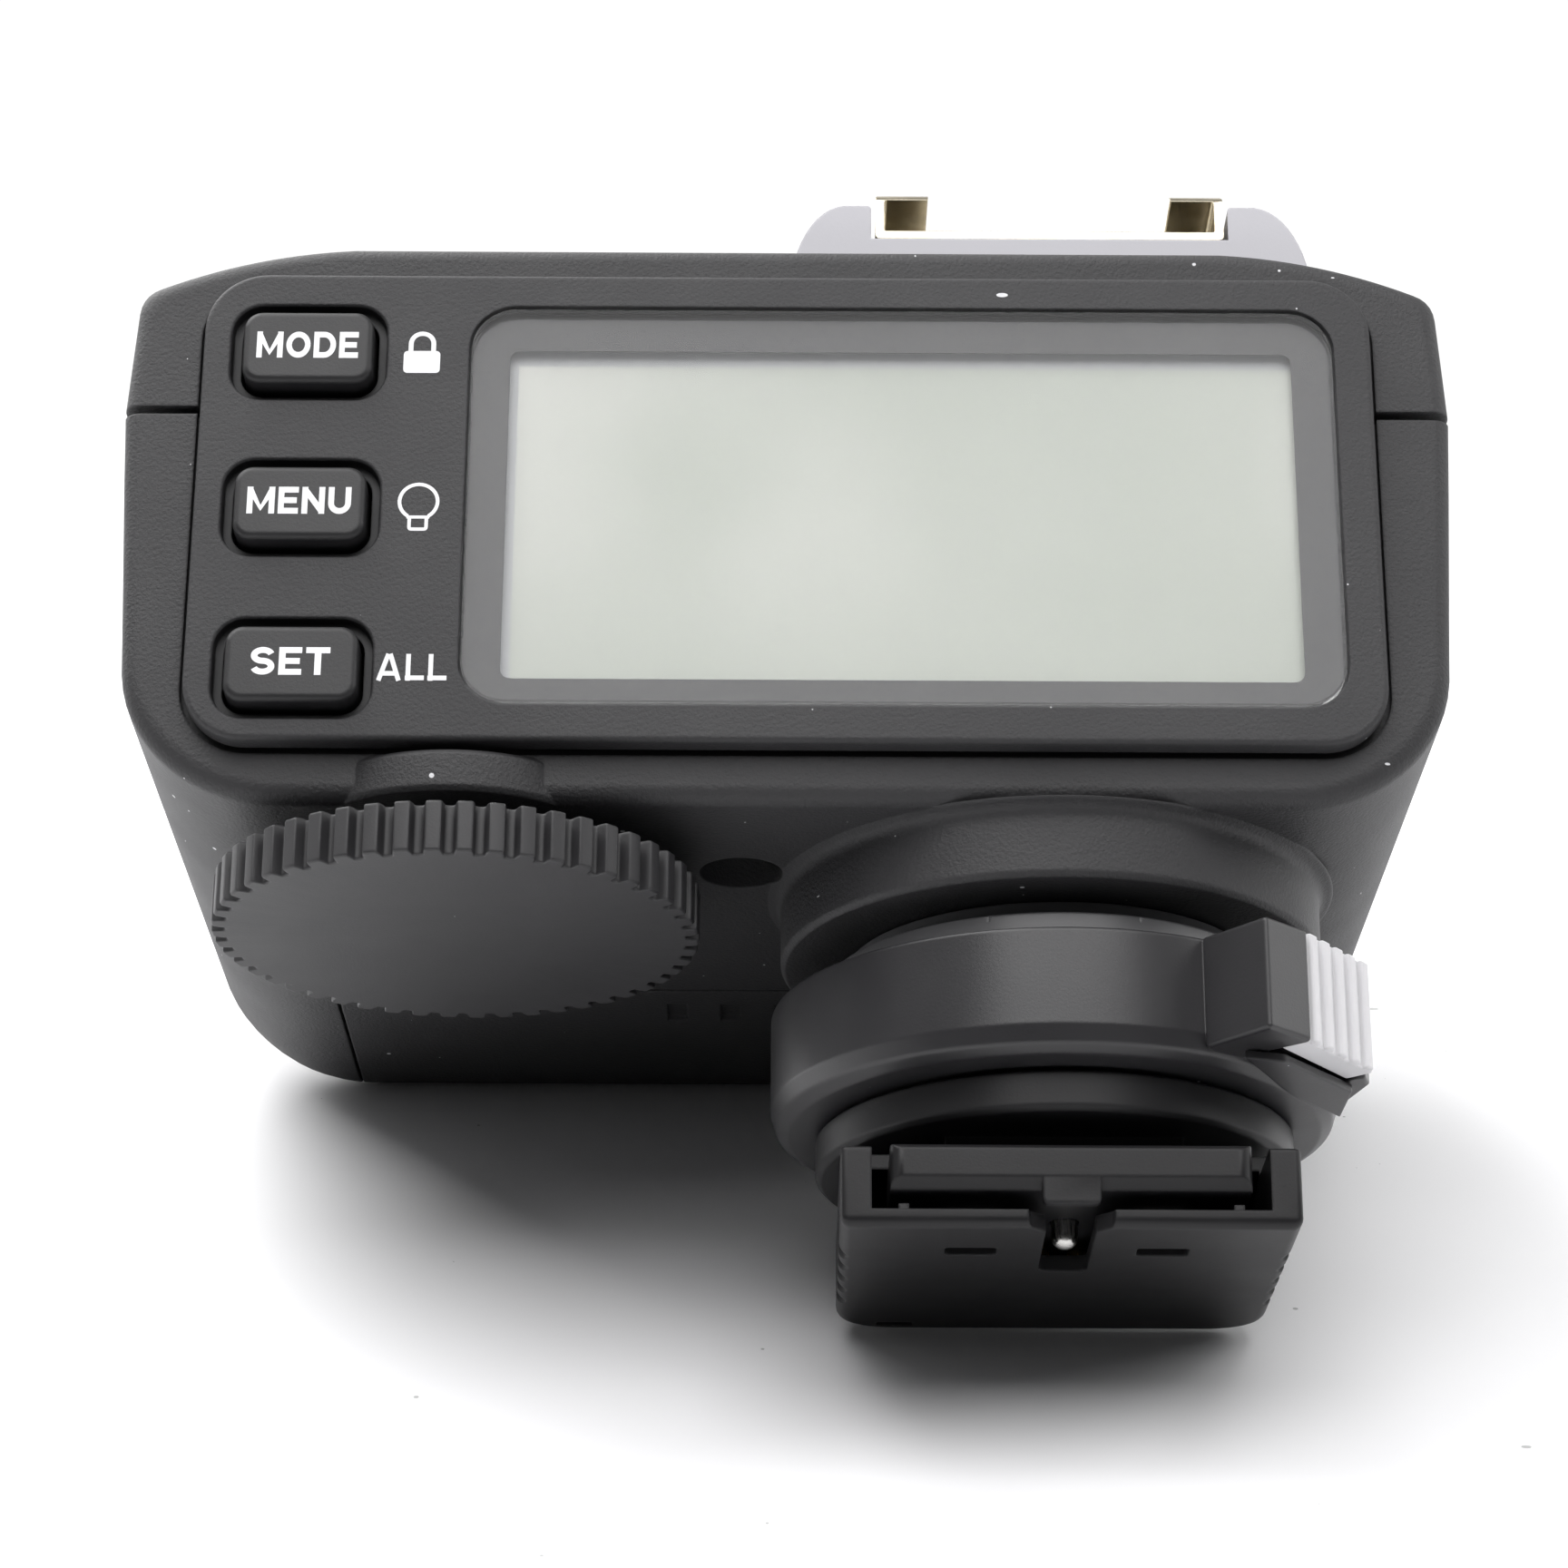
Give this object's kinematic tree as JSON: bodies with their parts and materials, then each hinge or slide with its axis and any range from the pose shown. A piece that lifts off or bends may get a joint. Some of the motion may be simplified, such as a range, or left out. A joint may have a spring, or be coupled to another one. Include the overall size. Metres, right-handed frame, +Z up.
{
  "type": "wireless flash trigger",
  "caption": "Camera-top radio flash trigger with a rear display, key column, underside selector dial, pass-through accessory shoe and a quick-lock shoe foot under a slip-on cap.",
  "frame": {"origin": "on the lock ring's axis, at the flat bottom face of the cap that covers the shoe foot", "axes": "+Z up, from the foot to the accessory shoe on top; +Y to the camera's front, away from the display; +X to the right as seen from the display side"},
  "size_m": [0.0738, 0.0575, 0.0609],
  "materials": {
    "shell_plastic": "fine matte grain",
    "smooth_plastic": "satin moulded",
    "key_plastic": "smooth satin",
    "grey_plastic": "light grey satin",
    "window": "clear window with a dark printed border",
    "screen": "grey-green liquid crystal cell",
    "light_guide": "milky diffuser",
    "red_window": "dark red transparent",
    "silicone": "translucent grey",
    "circuit_board": "green solder resist",
    "steel": "bright nickel plate",
    "nickel_brass": "nickel-plated brass, polished",
    "gold": "gold flash",
    "cell_wrap": "printed film sleeve"
  },
  "bodies": {
    "housing": {"lower_shell": "shell_plastic", "top_cover": "shell_plastic", "bezel_panel": "smooth_plastic", "lcd_glass": "window", "beam_lens": "red_window", "usb_socket": "steel", "sync_socket": "steel", "shoe_base": "smooth_plastic", "shoe_rail": "nickel_brass", "shoe_contact_block": "key_plastic", "foot_stem": "grey_plastic", "foot_base": "smooth_plastic", "lcd_module": "screen", "lcd_backlight": "light_guide", "key_membrane": "silicone", "display_board": "circuit_board", "main_board": "circuit_board", "radio_module": "steel", "buzzer": "key_plastic", "dial_encoder": "steel", "switch_board": "circuit_board", "beam_lamp": "light_guide", "battery_tray": "smooth_plastic", "battery_cell_front": "cell_wrap", "battery_cell_back": "cell_wrap", "bridge_contact": "steel", "negative_contact": "steel", "positive_contact": "steel", "door_hinge_pin": "steel", "shoe_data_contacts": "gold", "shoe_center_contact": "gold", "shoe_screw_1": "steel", "shoe_screw_2": "steel", "shoe_screw_3": "steel", "shoe_screw_4": "steel", "shell_screw": "steel", "foot_contacts": "gold", "status_lamp": "red_window"},
    "dial": {"select_dial": "smooth_plastic", "encoder_shaft": "steel"},
    "mode_key": {"mode_button": "key_plastic"},
    "menu_key": {"menu_button": "key_plastic"},
    "set_key": {"set_button": "key_plastic"},
    "group_a_key": {"group_a_button": "key_plastic"},
    "group_b_key": {"group_b_button": "key_plastic"},
    "group_c_key": {"group_c_button": "key_plastic"},
    "group_d_key": {"group_d_button": "key_plastic"},
    "group_e_key": {"group_e_button": "key_plastic"},
    "test_key": {"test_button": "grey_plastic"},
    "power_slider": {"power_switch": "key_plastic"},
    "beam_slider": {"beam_switch": "key_plastic"},
    "door": {"battery_door": "shell_plastic"},
    "ring": {"lock_ring": "smooth_plastic"},
    "release": {"release_button": "grey_plastic", "release_spring": "steel"},
    "pin": {"lock_pin": "steel", "lock_pin_spring": "steel"},
    "cap": {"foot_cap": "smooth_plastic"}
  },
  "joints": [
    {"name": "dial_turn", "type": "hinge", "parent": "housing", "child": "dial", "pos_m": [-0.0325, -0.0073, 0.0189], "axis": [0, 0, 1], "continuous": true},
    {"name": "mode_press", "type": "slide", "parent": "housing", "child": "mode_key", "axis": [0, 1, 0], "range_m": [0, 0.0006], "stiffness_N_per_m": 400, "springref_m": -0.001},
    {"name": "menu_press", "type": "slide", "parent": "housing", "child": "menu_key", "axis": [0, 1, 0], "range_m": [0, 0.0006], "stiffness_N_per_m": 400, "springref_m": -0.001},
    {"name": "set_press", "type": "slide", "parent": "housing", "child": "set_key", "axis": [0, 1, 0], "range_m": [0, 0.0006], "stiffness_N_per_m": 400, "springref_m": -0.001},
    {"name": "group_a_press", "type": "slide", "parent": "housing", "child": "group_a_key", "axis": [0, 0, -1], "range_m": [0, 0.0005], "stiffness_N_per_m": 400, "springref_m": -0.001},
    {"name": "group_b_press", "type": "slide", "parent": "housing", "child": "group_b_key", "axis": [0, 0, -1], "range_m": [0, 0.0005], "stiffness_N_per_m": 400, "springref_m": -0.001},
    {"name": "group_c_press", "type": "slide", "parent": "housing", "child": "group_c_key", "axis": [0, 0, -1], "range_m": [0, 0.0005], "stiffness_N_per_m": 400, "springref_m": -0.001},
    {"name": "group_d_press", "type": "slide", "parent": "housing", "child": "group_d_key", "axis": [0, 0, -1], "range_m": [0, 0.0005], "stiffness_N_per_m": 400, "springref_m": -0.001},
    {"name": "group_e_press", "type": "slide", "parent": "housing", "child": "group_e_key", "axis": [0, 0, -1], "range_m": [0, 0.0005], "stiffness_N_per_m": 400, "springref_m": -0.001},
    {"name": "test_press", "type": "slide", "parent": "housing", "child": "test_key", "axis": [0, 0, -1], "range_m": [0, 0.0005], "stiffness_N_per_m": 400, "springref_m": -0.001},
    {"name": "power_slide", "type": "slide", "parent": "housing", "child": "power_slider", "axis": [0, 1, 0], "range_m": [0, 0.003]},
    {"name": "beam_slide", "type": "slide", "parent": "housing", "child": "beam_slider", "axis": [0, 1, 0], "range_m": [0, 0.003]},
    {"name": "door_hinge", "type": "hinge", "parent": "housing", "child": "door", "pos_m": [-0.0148, 0.036, 0.0331], "axis": [1, 0, 0], "range_deg": [0, 100]},
    {"name": "ring_turn", "type": "hinge", "parent": "housing", "child": "ring", "pos_m": [0, 0, 0.012], "axis": [0, 0, 1], "range_deg": [0, 60]},
    {"name": "release_press", "type": "slide", "parent": "ring", "child": "release", "axis": [-0.7868, 0.6172, 0], "range_m": [0, 0.0012], "stiffness_N_per_m": 300, "springref_m": -0.001},
    {"name": "pin_slide", "type": "slide", "parent": "housing", "child": "pin", "axis": [0, 0, 1], "range_m": [0, 0.0012], "deforming": ["lock_pin_spring"]},
    {"name": "cap_slide", "type": "slide", "parent": "housing", "child": "cap", "axis": [0, 1, 0], "range_m": [0, 0.025]}
  ],
  "couplings": [
    {"joint": "pin_slide", "follows": "ring_turn", "m_per_rad": 0.001145}
  ]
}
